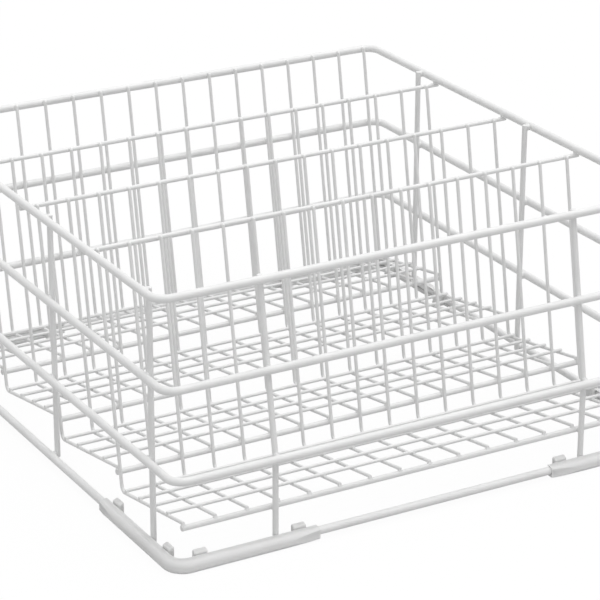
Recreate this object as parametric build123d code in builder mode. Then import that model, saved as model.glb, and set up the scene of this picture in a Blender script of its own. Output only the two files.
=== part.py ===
"""Dishwasher glass rack: a square frame of coated wire with four leaning rows.

Each row is a bent mat of thin wires: a leaning partition and the floor in front
of it. Four plastic shoes clip onto the corners of the base ring.
"""
import os
from math import cos, radians, sin, tan

from build123d import *

os.makedirs("parts", exist_ok=True)

# Overall sizes in millimetres: X to the right, Y to the back, Z up from the floor
base_size = 500.0
ring_pitch = 73.0
row_tilt = 10.0

# Wire diameters with their coating
frame_wire = 7.0
upright_wire = 5.0
bar_wire = 5.0
rail_wire = 4.0
mesh_wire = 3.0

# Corner shoes: walls around the base ring, and the ramps and tapers of the leg ends
shoe_wall = 2.5
shoe_floor = 3.5
shoe_roof = 0.8
shoe_clearance = 0.15
shoe_lip_gap = 0.3
shoe_shoulder = 5.0
shoe_lip_edge = 0.5
shoe_belly = 4.5
ramp_length = 55.0
ramp_rise = 2.0
taper_length = 24.0
taper_depth = 1.5

# Lugs inside the shoes: places along a leg are counted from the outer corner
lug_near = 31.0
lug_length = 12.2
lug_thickness = 5.3
lug_rise = 4.0
lug_slope = 2.3
lug_edge = 1.5
lug_past_upright = 21.5
leg_past_lug = 14.5

# Row mats, their support bars and the divider rails
mesh_count = 17
cross_count = 4
mesh_bend_radius = 5.5
mesh_bend_height = 18.5
cross_sink = 0.4
bar_side_gap = 2.5
bar_overhang = 2.0
floor_wire_end = 1.0
rim_wire_drop = 1.2
rail_wire_drop = 0.3
rail_overhang = 2.0
wire_end_edge = 0.7

# Uprights: places along the sides are counted from the near lugs
side_upright_front_gap = 25.5
side_upright_back_gap = 45.5
front_upright_gap = 69.0
upright_bend_radius = 20.0
upright_top_drop = 1.5
upright_foot_drop = 2.0

# Ring positions
tilt_sin = sin(radians(row_tilt))
tilt_cos = cos(radians(row_tilt))
tilt_tan = tan(radians(row_tilt))
ring_half = base_size / 2 - shoe_wall - frame_wire / 2
base_z = shoe_floor + frame_wire / 2
lower_z = base_z + ring_pitch
upper_z = lower_z + ring_pitch
rim_z = upper_z + ring_pitch
ring_lean = ring_pitch * tilt_tan

# The origin lies midway between the front of the shoes and the back of the rim
rim_back = ring_half + 2 * ring_lean + frame_wire / 2
base_y = (base_size / 2 - rim_back) / 2
upper_y = base_y + ring_lean
rim_y = upper_y + ring_lean

# Uprights stand against the inner side of the rings
upright_reach = (frame_wire + upright_wire) / 2
upright_half = ring_half - upright_reach
upright_top = rim_z + frame_wire / 2 - upright_top_drop
upright_foot = base_z - upright_foot_drop
lug_half = base_size / 2 - lug_near
side_front_y = base_y - lug_half + side_upright_front_gap
side_back_y = base_y + lug_half - side_upright_back_gap
front_upright_half = lug_half - front_upright_gap
lug_far = lug_near + front_upright_gap + lug_past_upright
shoe_leg = lug_far + leg_past_lug

# Spread of the thin wires between the side uprights
bar_half = upright_half - upright_wire / 2 - bar_side_gap
mesh_half = bar_half - bar_overhang
mesh_pitch = 2 * mesh_half / (mesh_count - 1)

# Ring corners start to bend where the outermost thin wires stand
corner_radius = ring_half - mesh_half

# The rearmost partition leans against the back of the rings
mesh_reach = (frame_wire + mesh_wire) / 2
bar_reach = (bar_wire + mesh_wire) / 2
rail_reach = (rail_wire + mesh_wire) / 2
first_lean = (lower_z - mesh_bend_height) * tilt_tan
first_foot_y = base_y + ring_half - mesh_reach / tilt_cos - first_lean

# Row spacing: each floor bar meets the next partition, the last meets the front uprights
last_bar_y = base_y - upright_half + (upright_wire + bar_wire) / 2
bar_shift = bar_reach * (tilt_cos - tilt_sin)
row_pitch = (first_foot_y - last_bar_y + bar_shift) / (3 + tilt_cos**2)
bar_run = row_pitch * tilt_cos - bar_reach
floor_run = bar_run + floor_wire_end

# Heights of the divider rails and of the partition tops
rail_z = rim_z - (frame_wire + rail_wire) / 2
back_top_z = rim_z + frame_wire / 2 - rim_wire_drop
row_top_z = rail_z + rail_wire / 2 - rail_wire_drop
mesh_tops = [back_top_z, row_top_z, row_top_z, row_top_z]
cross_pitch = (bar_run - mesh_bend_radius - mesh_wire) / cross_count
cross_rise = mesh_wire - cross_sink


def foot_y(row):
    """Depth of the bend corner of a row, counted from the back."""
    return first_foot_y - row * row_pitch


def floor_point(row, run, rise):
    """Depth and height of a point along a row's floor and square to it."""
    depth = foot_y(row) - run * tilt_cos + rise * tilt_sin
    height = mesh_bend_height + run * tilt_sin + rise * tilt_cos
    return depth, height


def partition_y(row, height):
    """Depth of a row's partition wires at a height."""
    return foot_y(row) + (height - mesh_bend_height) * tilt_tan


def end_edges(wire):
    """Rims of the flat ends of a wire."""
    return wire.faces().filter_by(GeomType.PLANE).edges()


# Four frame rings
rings = [
    ("base_ring", base_y, base_z),
    ("lower_ring", base_y, lower_z),
    ("upper_ring", upper_y, upper_z),
    ("top_rim", rim_y, rim_z),
]
for ring_name, ring_y, ring_z in rings:
    with BuildPart() as ring:
        with BuildLine(Plane((0, ring_y, ring_z))) as half_ring:
            FilletPolyline(
                (0, -ring_half),
                (ring_half, -ring_half),
                (ring_half, ring_half),
                (0, ring_half),
                radius=corner_radius,
            )
        with BuildSketch(Plane(half_ring.line @ 0, z_dir=half_ring.line % 0)):
            Circle(frame_wire / 2)
        sweep()
        mirror(about=Plane.YZ)
    ring.part.label = ring_name
    export_step(ring.part, f"parts/{ring_name}.step")

# Straight uprights along both sides
side_middle_y = (side_front_y + side_back_y) / 2
upright_places = [("front", side_front_y), ("middle", side_middle_y), ("back", side_back_y)]
for side_name, side in [("left", -1), ("right", 1)]:
    for place_name, upright_y in upright_places:
        upright_name = f"side_upright_{side_name}_{place_name}"
        with BuildPart() as side_upright:
            with BuildSketch(Plane((side * upright_half, upright_y, upright_foot))):
                Circle(upright_wire / 2)
            extrude(amount=upright_top - upright_foot)
            fillet(end_edges(side_upright), radius=wire_end_edge)
        side_upright.part.label = upright_name
        export_step(side_upright.part, f"parts/{upright_name}.step")

# Front uprights: straight to the lower ring, then leaning back to the rim
front_y = base_y - upright_half
lean_y = base_y - ring_half + upright_reach / tilt_cos
bend_z = lower_z - (lean_y - front_y) / tilt_tan
front_top_y = lean_y + (upright_top - lower_z) * tilt_tan
for side_name, side in [("left", -1), ("right", 1)]:
    upright_name = f"front_upright_{side_name}"
    with BuildPart() as front_upright:
        with BuildLine(Plane.YZ.offset(side * front_upright_half)) as bent_path:
            FilletPolyline(
                (front_y, upright_foot),
                (front_y, bend_z),
                (front_top_y, upright_top),
                radius=upright_bend_radius,
            )
        with BuildSketch(Plane(bent_path.line @ 0, z_dir=bent_path.line % 0)):
            Circle(upright_wire / 2)
        sweep()
        fillet(end_edges(front_upright), radius=wire_end_edge)
    front_upright.part.label = upright_name
    export_step(front_upright.part, f"parts/{upright_name}.step")

# Row mats: bent wires side by side, joined by cross wires on the floor
for row in range(4):
    mat_name = f"row_mat_{row + 1}"
    with BuildPart() as bent_wire:
        with BuildLine(Plane.YZ) as wire_path:
            FilletPolyline(
                (partition_y(row, mesh_tops[row]), mesh_tops[row]),
                (foot_y(row), mesh_bend_height),
                floor_point(row, floor_run, 0),
                radius=mesh_bend_radius,
            )
        with BuildSketch(Plane(wire_path.line @ 0, z_dir=wire_path.line % 0)):
            Circle(mesh_wire / 2)
        sweep()
        fillet(end_edges(bent_wire), radius=wire_end_edge)
    with BuildPart() as cross_wire:
        with BuildSketch(Plane.YZ):
            Circle(mesh_wire / 2)
        extrude(amount=mesh_half + mesh_wire / 2, both=True)
        fillet(end_edges(cross_wire), radius=wire_end_edge)
    with BuildPart() as row_mat:
        with GridLocations(mesh_pitch, 1, mesh_count, 1):
            add(bent_wire.part)
        for step in range(cross_count):
            cross_run = bar_run - (step + 1) * cross_pitch
            with Locations((0, *floor_point(row, cross_run, cross_rise))):
                add(cross_wire.part)
    row_mat.part.label = mat_name
    export_step(row_mat.part, f"parts/{mat_name}.step")

# Support bars under the front ends of the row floors
for row in range(4):
    bar_name = f"floor_bar_{row + 1}"
    with BuildPart() as floor_bar:
        with BuildSketch(Plane.YZ):
            with Locations(floor_point(row, bar_run, -bar_reach)):
                Circle(bar_wire / 2)
        extrude(amount=bar_half, both=True)
        fillet(end_edges(floor_bar), radius=wire_end_edge)
    floor_bar.part.label = bar_name
    export_step(floor_bar.part, f"parts/{bar_name}.step")

# Divider rails hung under the side rims, behind the tops of three partitions
for row in range(1, 4):
    rail_name = f"divider_rail_{row}"
    rail_y = partition_y(row, rail_z) + rail_reach / tilt_cos
    with BuildPart() as divider_rail:
        with BuildSketch(Plane.YZ):
            with Locations((rail_y, rail_z)):
                Circle(rail_wire / 2)
        extrude(amount=ring_half + rail_overhang, both=True)
        fillet(end_edges(divider_rail), radius=wire_end_edge)
    divider_rail.part.label = rail_name
    export_step(divider_rail.part, f"parts/{rail_name}.step")

# One corner shoe, drawn at the front left corner of a base centred on the origin
shoe_height = shoe_floor + frame_wire + shoe_roof
shoe_inner = frame_wire / 2 - shoe_lip_gap
shoe_width = frame_wire / 2 + shoe_wall + shoe_inner
groove_radius = frame_wire / 2 + shoe_clearance
groove_floor = base_z - groove_radius
corner = -base_size / 2
leg_end = corner + shoe_leg
diagonal = Plane((0, 0, 0), (0, 0, 1), (1, -1, 0))

# Lugs: posts beside the ring that stand on the shoe's floor, with sloping tops
lug_face = -ring_half + groove_radius
lug_back = lug_face + lug_thickness
lug_top = shoe_height + lug_rise
with BuildPart() as lugs:
    for lug_place in (lug_near, lug_far):
        with BuildSketch(Plane.YZ.offset(corner + lug_place - lug_length / 2)):
            with BuildLine():
                Polyline(
                    (lug_face, 0),
                    (lug_back, 0),
                    (lug_back, lug_top),
                    (lug_face, lug_top - lug_slope),
                    close=True,
                )
            make_face()
        extrude(amount=lug_length)
    fillet(lugs.edges().filter_by(lambda edge: edge.center().Z > 0), radius=lug_edge)
    for lug_place in (lug_near, lug_far):
        with BuildSketch(Plane.YZ.offset(corner + lug_place - lug_length / 2)):
            with Locations((-ring_half, 0)):
                Rectangle(lug_back + ring_half, groove_floor, align=(Align.MIN, Align.MIN))
        extrude(amount=lug_length)
    mirror(about=diagonal)

# Ramps under the leg ends and the thinned outer faces of their tips
with BuildPart() as trims:
    with BuildSketch(Plane.XZ):
        with BuildLine():
            Polyline(
                (leg_end - ramp_length, 0),
                (leg_end, ramp_rise),
                (leg_end, 0),
                close=True,
            )
        make_face()
    extrude(amount=base_size / 2)
    with BuildSketch(Plane.XY):
        with BuildLine():
            Polyline(
                (leg_end - taper_length, corner),
                (leg_end, corner + taper_depth),
                (leg_end, corner),
                close=True,
            )
        make_face()
    extrude(amount=shoe_height)
    mirror(about=diagonal)

# A rounded sleeve around the base ring, open on its inner side
with BuildPart() as shoe:
    with BuildLine(Plane.XY.offset(base_z)) as shoe_path:
        FilletPolyline(
            (leg_end, -ring_half),
            (-ring_half, -ring_half),
            (-ring_half, leg_end),
            radius=corner_radius,
        )
    with BuildSketch(Plane(shoe_path.line @ 0, (0, -1, 0), (-1, 0, 0))) as section:
        with Locations((shoe_width / 2 - shoe_inner, shoe_height / 2 - base_z)):
            Rectangle(shoe_width, shoe_height)
        fillet(section.vertices().group_by(Axis.Y)[0].sort_by(Axis.X)[-1], radius=shoe_belly)
        fillet(section.vertices().group_by(Axis.Y)[-1].sort_by(Axis.X)[-1], radius=shoe_shoulder)
        fillet(section.vertices().group_by(Axis.Y)[-1].sort_by(Axis.X)[0], radius=shoe_lip_edge)
        Circle(groove_radius, mode=Mode.SUBTRACT)
        with Locations((-frame_wire / 2, 0)):
            Rectangle(frame_wire, 2 * groove_radius, mode=Mode.SUBTRACT)
    sweep()
    add(lugs.part)
    add(trims.part, mode=Mode.SUBTRACT)

# The same shoe at each corner, turned by quarters
shoe_places = [
    ("corner_shoe_front_left", 0),
    ("corner_shoe_front_right", 90),
    ("corner_shoe_back_right", 180),
    ("corner_shoe_back_left", 270),
]
for shoe_name, turn in shoe_places:
    with BuildPart() as corner_shoe:
        with Locations((0, base_y, 0)):
            add(shoe.part, rotation=(0, 0, turn))
    corner_shoe.part.label = shoe_name
    export_step(corner_shoe.part, f"parts/{shoe_name}.step")
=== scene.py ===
"""Looks, light and camera for the dishwasher glass rack."""
from math import cos, radians, sin

import bmesh
import bpy
import numpy as np
from mathutils import Matrix, Vector


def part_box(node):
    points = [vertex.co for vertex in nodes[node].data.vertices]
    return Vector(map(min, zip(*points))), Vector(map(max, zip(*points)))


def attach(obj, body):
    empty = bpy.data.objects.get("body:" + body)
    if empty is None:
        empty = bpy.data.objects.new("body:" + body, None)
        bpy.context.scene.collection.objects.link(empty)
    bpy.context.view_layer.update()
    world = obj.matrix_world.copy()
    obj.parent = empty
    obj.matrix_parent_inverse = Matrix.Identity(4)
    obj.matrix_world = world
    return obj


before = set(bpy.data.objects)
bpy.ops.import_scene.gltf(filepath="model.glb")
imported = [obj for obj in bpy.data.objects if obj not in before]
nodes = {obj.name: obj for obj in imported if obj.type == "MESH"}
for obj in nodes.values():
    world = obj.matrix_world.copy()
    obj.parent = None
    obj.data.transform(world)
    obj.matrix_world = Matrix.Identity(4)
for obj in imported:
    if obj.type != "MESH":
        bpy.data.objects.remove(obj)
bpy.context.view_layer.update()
scene = bpy.context.scene


# Material helpers
def new_material(name):
    material = bpy.data.materials.new(name)
    material.use_nodes = True
    material.node_tree.nodes.clear()
    return material, material.node_tree


def node(tree, kind, **inputs):
    """A new node with values on its input sockets, whose names have _ for a space."""
    made = tree.nodes.new(kind)
    for key, value in inputs.items():
        made.inputs[key.replace("_", " ")].default_value = value
    return made


def noise(tree, coords, scale, detail, roughness):
    made = node(tree, "ShaderNodeTexNoise", Scale=scale, Detail=detail, Roughness=roughness)
    tree.links.new(coords.outputs["Object"], made.inputs["Vector"])
    return made.outputs["Fac"]


def ramp(tree, value, low, high, left=0.3, right=0.7):
    """Colour that goes from low to high while a value goes from left to right."""
    made = tree.nodes.new("ShaderNodeValToRGB")
    first, last = made.color_ramp.elements
    first.position, first.color = left, low
    last.position, last.color = right, high
    tree.links.new(value, made.inputs["Fac"])
    return made.outputs["Color"]


def grey(value):
    return (value, value, value, 1.0)


def new_surface(name, **inputs):
    """A material of one principled shader, and the coordinates for its textures."""
    material, tree = new_material(name)
    out = tree.nodes.new("ShaderNodeOutputMaterial")
    shader = node(tree, "ShaderNodeBsdfPrincipled", **inputs)
    tree.links.new(shader.outputs["BSDF"], out.inputs["Surface"])
    return material, tree, shader, tree.nodes.new("ShaderNodeTexCoord")


def add_gloss(tree, shader, coords, scale, low, high):
    """Roughness that wanders between two values."""
    wander = noise(tree, coords, scale, detail=3.0, roughness=0.5)
    tree.links.new(ramp(tree, wander, grey(low), grey(high)), shader.inputs["Roughness"])


def add_bumps(tree, shader, coords, scale, roughness, strength, distance):
    """Fine unevenness of the whole surface."""
    height = noise(tree, coords, scale, detail=2.0, roughness=roughness)
    bump = node(tree, "ShaderNodeBump", Strength=strength, Distance=distance)
    tree.links.new(height, bump.inputs["Height"])
    tree.links.new(bump.outputs["Normal"], shader.inputs["Normal"])


def coating_material():
    """White dipped plastic over wire: slightly uneven skin, soft gloss."""
    material, tree, shader, coords = new_surface("coated_wire", IOR=1.5)
    tone = noise(tree, coords, scale=38.0, detail=4.0, roughness=0.55)
    colour = ramp(tree, tone, low=(0.80, 0.802, 0.80, 1.0), high=(0.86, 0.86, 0.858, 1.0))
    tree.links.new(colour, shader.inputs["Base Color"])
    add_gloss(tree, shader, coords, scale=90.0, low=0.36, high=0.48)
    add_bumps(tree, shader, coords, scale=260.0, roughness=0.45, strength=0.12, distance=0.0004)
    return material


def shoe_material():
    """Scattering white plastic with a fine eroded grain and painted shading: lighter towards the bottom as
    painted light from below, greyer towards its upper edge and the lugs as painted shade.
    """
    material, tree, shader, coords = new_surface(
        "shoe_plastic", IOR=1.49, Subsurface_Weight=1.0,
        Subsurface_Radius=(1.0, 1.0, 1.0), Subsurface_Scale=0.0025)
    place = tree.nodes.new("ShaderNodeSeparateXYZ")
    tree.links.new(coords.outputs["Object"], place.inputs["Vector"])
    # Painted shading by height: the colour is lighter low down and greyer up to the top edge and the lugs
    height = node(tree, "ShaderNodeMapRange", From_Min=0.003, From_Max=0.012)
    tree.links.new(place.outputs["Z"], height.inputs["Value"])
    painted_shading = ramp(tree, height.outputs["Result"], low=(0.95, 0.95, 0.946, 1.0),
                   high=(0.78, 0.78, 0.776, 1.0), left=0.0, right=1.0)
    tone = noise(tree, coords, scale=14.0, detail=5.0, roughness=0.6)
    colour = node(tree, "ShaderNodeMixRGB", Fac=1.0)
    colour.blend_type = "MULTIPLY"
    tree.links.new(painted_shading, colour.inputs["Color1"])
    tree.links.new(ramp(tree, tone, low=grey(0.97), high=grey(1.0)), colour.inputs["Color2"])
    tree.links.new(colour.outputs["Color"], shader.inputs["Base Color"])
    add_gloss(tree, shader, coords, scale=60.0, low=0.5, high=0.64)
    add_bumps(tree, shader, coords, scale=900.0, roughness=0.5, strength=0.1, distance=0.0003)
    return material


def show_or_light(tree, light, shown, out):
    """Gives camera, glossy and transmission rays the shown shader, and all other rays the light shader."""
    path = tree.nodes.new("ShaderNodeLightPath")
    seen = path.outputs["Is Camera Ray"]
    for name in ("Is Glossy Ray", "Is Transmission Ray"):
        most = tree.nodes.new("ShaderNodeMath")
        most.operation = "MAXIMUM"
        tree.links.new(seen, most.inputs[0])
        tree.links.new(path.outputs[name], most.inputs[1])
        seen = most.outputs["Value"]
    pick = tree.nodes.new("ShaderNodeMixShader")
    tree.links.new(seen, pick.inputs["Fac"])
    tree.links.new(light, pick.inputs[1])
    tree.links.new(shown, pick.inputs[2])
    tree.links.new(pick.outputs["Shader"], out.inputs["Surface"])


def floor_material():
    """White studio floor that keeps a soft shadow."""
    material, tree = new_material("studio_floor")
    out = tree.nodes.new("ShaderNodeOutputMaterial")
    bounce = node(tree, "ShaderNodeBsdfDiffuse", Color=grey(0.5))
    shaded = node(tree, "ShaderNodeBsdfDiffuse", Color=grey(0.95))
    white = node(tree, "ShaderNodeEmission", Color=grey(1.0), Strength=1.0)
    shown = node(tree, "ShaderNodeMixShader", Fac=0.95)
    tree.links.new(shaded.outputs["BSDF"], shown.inputs[1])
    tree.links.new(white.outputs["Emission"], shown.inputs[2])
    show_or_light(tree, bounce.outputs["BSDF"], shown.outputs["Shader"], out)
    return material


# Materials on the solids
coating = coating_material()
plastic = shoe_material()
for name, piece in nodes.items():
    piece.data.materials.clear()
    piece.data.materials.append(plastic if name.startswith("corner_shoe") else coating)

# Sizes of the wires that the weld beads join, in metres
tilt = radians(10)
frame_r, upright_r, bar_r, rail_r, mesh_r = 0.0035, 0.0025, 0.0025, 0.002, 0.0015
bend_radius = 0.0055
column_count, cross_count = 17, 4
cross_sink = 0.0004
floor_wire_overhang = 0.001
upright_overhang = 0.002

# Directions: along the row floors to the front, up the partitions, and the rack's own axes
front = np.array((0.0, -cos(tilt), sin(tilt)))
rise = np.array((0.0, sin(tilt), cos(tilt)))
across = np.array((1.0, 0.0, 0.0))
depth = np.array((0.0, 1.0, 0.0))
upward = np.array((0.0, 0.0, 1.0))

# Weld beads: a wire counts this far along where it runs on, or only this near to the bead
far = 1.0
near = 0.02
# A bead stays this much inside the true fillet, and is cast out in this many steps
bead_sink = 0.00003
ray_steps = 49
# Width and reach of each fillet
rear_fillet = (0.0022, 0.0034)
rail_fillet = (0.0018, 0.003)
bar_fillet = (0.0019, 0.003)
cross_fillet = (0.0013, 0.0024)
upright_fillet = (0.0026, 0.0046)
front_bar_fillet = (0.0026, 0.004)
rail_end_fillet = (0.0024, 0.004)


def middle(name):
    low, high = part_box(name)
    return (np.array(low) + np.array(high)) / 2


def half_size(name):
    low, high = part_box(name)
    return (np.array(high) - np.array(low)) / 2


def at_x(point, x):
    return np.array((x, point[1], point[2]))


def wire(origin, along, radius, start=-far, end=far):
    return origin, along, radius, start, end


def wire_distance(points, wire_piece):
    """Distance from points to a round wire with flat ends, negative inside."""
    origin, along, radius, start, end = wire_piece
    offset = points - origin
    place = offset @ along
    radial = np.linalg.norm(offset - place[..., None] * along, axis=-1) - radius
    return np.maximum(radial, np.maximum(start - place, place - end))


def unit_sphere():
    work = bmesh.new()
    bmesh.ops.create_icosphere(work, subdivisions=2, radius=1.0)
    points = np.array([v.co[:] for v in work.verts])
    faces = [[v.index for v in f.verts] for f in work.faces]
    work.free()
    return points, faces


rays, ray_faces = unit_sphere()


def bead(spot, wire_a, wire_b, fillet):
    """Points of a fillet between two touching wires, cast out from the spot where they touch."""
    width, reach = fillet
    steps = np.linspace(0.0, reach, ray_steps)
    points = spot + rays[:, None, :] * steps[None, :, None]
    a = wire_distance(points, wire_a)
    b = wire_distance(points, wire_b)
    mix = np.clip(0.5 + 0.5 * (b - a) / width, 0.0, 1.0)
    blend = b + (a - b) * mix - width * mix * (1.0 - mix) + bead_sink
    outside = blend > 0.0
    outside[:, -1] = True
    first = outside.argmax(axis=1)
    return spot + rays * steps[np.maximum(first - 1, 1)][:, None]


def add_beads(name, beads):
    verts = np.concatenate(beads)
    faces = [[i + k * len(rays) for i in f] for k in range(len(beads)) for f in ray_faces]
    mesh = bpy.data.meshes.new(name)
    mesh.from_pydata(verts.tolist(), [], faces)
    mesh.polygons.foreach_set("use_smooth", [True] * len(faces))
    mesh.materials.append(coating)
    piece = bpy.data.objects.new(name, mesh)
    scene.collection.objects.link(piece)
    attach(piece, "root")


rings = ["base_ring", "lower_ring", "upper_ring", "top_rim"]
ring_half = half_size("base_ring")[0] - frame_r
mesh_half = half_size("row_mat_1")[0] - mesh_r
columns = np.linspace(-mesh_half, mesh_half, column_count)
bars = [middle(f"floor_bar_{row}") for row in range(1, 5)]
rails = [middle(f"divider_rail_{row}") for row in range(1, 4)]
row_pitch = bars[0][1] - bars[1][1]
floor_run = row_pitch * cos(tilt) - bar_r - mesh_r
cross_pitch = (floor_run - bend_radius - 2 * mesh_r) / cross_count

# Rear partition on the back of three rings
beads = []
wire_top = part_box("row_mat_1")[1][2]
for ring in rings[1:]:
    line = middle(ring) + depth * ring_half
    end = (wire_top - line[2]) / cos(tilt) if ring == "top_rim" else far
    for x in columns:
        spot = line + front * frame_r + across * x
        thin = wire(spot + front * mesh_r, rise, mesh_r, end=end)
        thick = wire(line + across * x, across, frame_r, -near, near)
        beads.append(bead(spot, thin, thick, rear_fillet))
add_beads("weld_beads_rear", beads)

# Row partitions on their divider rails
beads = []
for row, rail in enumerate(rails, start=2):
    end = (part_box(f"row_mat_{row}")[1][2] - rail[2]) / cos(tilt)
    for x in columns:
        spot = rail + front * rail_r + across * x
        thin = wire(spot + front * mesh_r, rise, mesh_r, end=end)
        rail_piece = wire(rail + across * x, across, rail_r, -near, near)
        beads.append(bead(spot, thin, rail_piece, rail_fillet))
add_beads("weld_beads_rails", beads)

# Floor wires on their bars, and the next row's partition against each bar but the last
beads = []
for bar in bars:
    for x in columns:
        bar_wire = wire(bar + across * x, across, bar_r)
        spot = bar + rise * bar_r + across * x
        thin = wire(spot + rise * mesh_r, front, mesh_r, end=floor_wire_overhang)
        beads.append(bead(spot, thin, bar_wire, bar_fillet))
        if bar is not bars[-1]:
            spot = bar + front * bar_r + across * x
            thin = wire(spot + front * mesh_r, rise, mesh_r)
            beads.append(bead(spot, thin, bar_wire, bar_fillet))
add_beads("weld_beads_bars", beads)

# Cross wires on the floor wires
beads = []
for bar in bars:
    for step in range(1, cross_count + 1):
        for x in columns:
            spot = bar + rise * (bar_r + 2 * mesh_r) - front * step * cross_pitch + across * x
            thin = wire(spot - rise * mesh_r, front, mesh_r)
            over = wire(spot + rise * (mesh_r - cross_sink), across, mesh_r,
                        -mesh_half - x - mesh_r, mesh_half - x + mesh_r)
            beads.append(bead(spot, thin, over, cross_fillet))
add_beads("weld_beads_floors", beads)

# Side uprights inside the rings
beads = []
for name in nodes:
    if not name.startswith("side_upright"):
        continue
    post = middle(name)
    low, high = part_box(name)
    side = np.sign(post[0])
    for ring in rings:
        line = np.array((side * ring_half, post[1], middle(ring)[2]))
        spot = line - across * side * frame_r
        stem = wire(at_x(line, post[0]), upward, upright_r, low[2] - line[2], high[2] - line[2])
        beads.append(bead(spot, stem, wire(line, depth, frame_r, -near, near), upright_fillet))

# Front uprights inside the rings and before the last bar
for name in ("front_upright_left", "front_upright_right"):
    x = middle(name)[0]
    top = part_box(name)[1][2]
    for ring in rings:
        line = at_x(middle(ring) - depth * ring_half, x)
        inward, along = (depth, upward) if ring in rings[:2] else (-front, rise)
        spot = line + inward * frame_r
        start = -upright_overhang if ring == "base_ring" else -far
        end = (top - line[2]) / cos(tilt) if ring == "top_rim" else far
        stem = wire(spot + inward * upright_r, along, upright_r, start, end)
        beads.append(bead(spot, stem, wire(line, across, frame_r, -near, near), upright_fillet))
    spot = at_x(bars[-1] - depth * bar_r, x)
    stem = wire(spot - depth * upright_r, upward, upright_r)
    bar_piece = wire(spot + depth * bar_r, across, bar_r, -near, near)
    beads.append(bead(spot, stem, bar_piece, front_bar_fillet))

# Ends of the divider rails under the side rims
for row, rail in enumerate(rails, start=1):
    rail_end = half_size(f"divider_rail_{row}")[0]
    for side in (-1.0, 1.0):
        spot = at_x(rail + upward * rail_r, side * ring_half)
        stem = wire(rail, across, rail_r, -rail_end, rail_end)
        rim = wire(spot + upward * frame_r, depth, frame_r, -near, near)
        beads.append(bead(spot, stem, rim, rail_end_fillet))
add_beads("weld_beads_frame", beads)

# Studio floor
floor_half = 8.0
mesh = bpy.data.meshes.new("studio_floor")
work = bmesh.new()
bmesh.ops.create_grid(work, x_segments=1, y_segments=1, size=floor_half)
work.to_mesh(mesh)
work.free()
floor = bpy.data.objects.new("studio_floor", mesh)
floor.data.materials.append(floor_material())
scene.collection.objects.link(floor)

# World: white where it is seen, soft grey where it lights
world = bpy.data.worlds.new("studio_world")
world.use_nodes = True
tree = world.node_tree
tree.nodes.clear()
out = tree.nodes.new("ShaderNodeOutputWorld")
fill = node(tree, "ShaderNodeBackground", Color=grey(1.0), Strength=0.51)
white = node(tree, "ShaderNodeBackground", Color=grey(1.0), Strength=1.0)
show_or_light(tree, fill.outputs["Background"], white.outputs["Background"], out)
scene.world = world


# Lamps
def add_sun(name, energy, spread, turn):
    """A broad soft lamp; spread is its angular size and turn its rotation, in degrees."""
    lamp = bpy.data.lights.new(name, "SUN")
    lamp.energy = energy
    lamp.angle = radians(spread)
    lamp_object = bpy.data.objects.new(name, lamp)
    lamp_object.rotation_euler = [radians(angle) for angle in turn]
    scene.collection.objects.link(lamp_object)


# Key from above and the right, fill from low at the front left
add_sun("key", energy=1.8, spread=70, turn=(3, 18, 0))
add_sun("front_fill", energy=0.4, spread=90, turn=(80, 0, -45))

# Camera at the photograph's viewing angle
azimuth, elevation, roll = radians(-29.738), radians(22.390), radians(0.19)
camera_place = (-1.10602, -1.96174, 1.02322)
focal_pixels, image_pixels = 2715.22, 600
back = Vector((sin(azimuth) * cos(elevation), -cos(azimuth) * cos(elevation), sin(elevation)))
right = Vector((cos(azimuth), sin(azimuth), 0.0))
up = back.cross(right)
right, up = cos(roll) * right + sin(roll) * up, cos(roll) * up - sin(roll) * right
camera = bpy.data.cameras.new("camera")
camera.sensor_width = 36.0
camera.sensor_fit = "HORIZONTAL"
camera.lens = focal_pixels / image_pixels * camera.sensor_width
camera.clip_end = 50.0
camera_object = bpy.data.objects.new("camera", camera)
turn = Matrix((right, up, back)).transposed().to_4x4()
camera_object.matrix_world = Matrix.Translation(camera_place) @ turn
scene.collection.objects.link(camera_object)
scene.camera = camera_object

scene.view_settings.view_transform = "Standard"
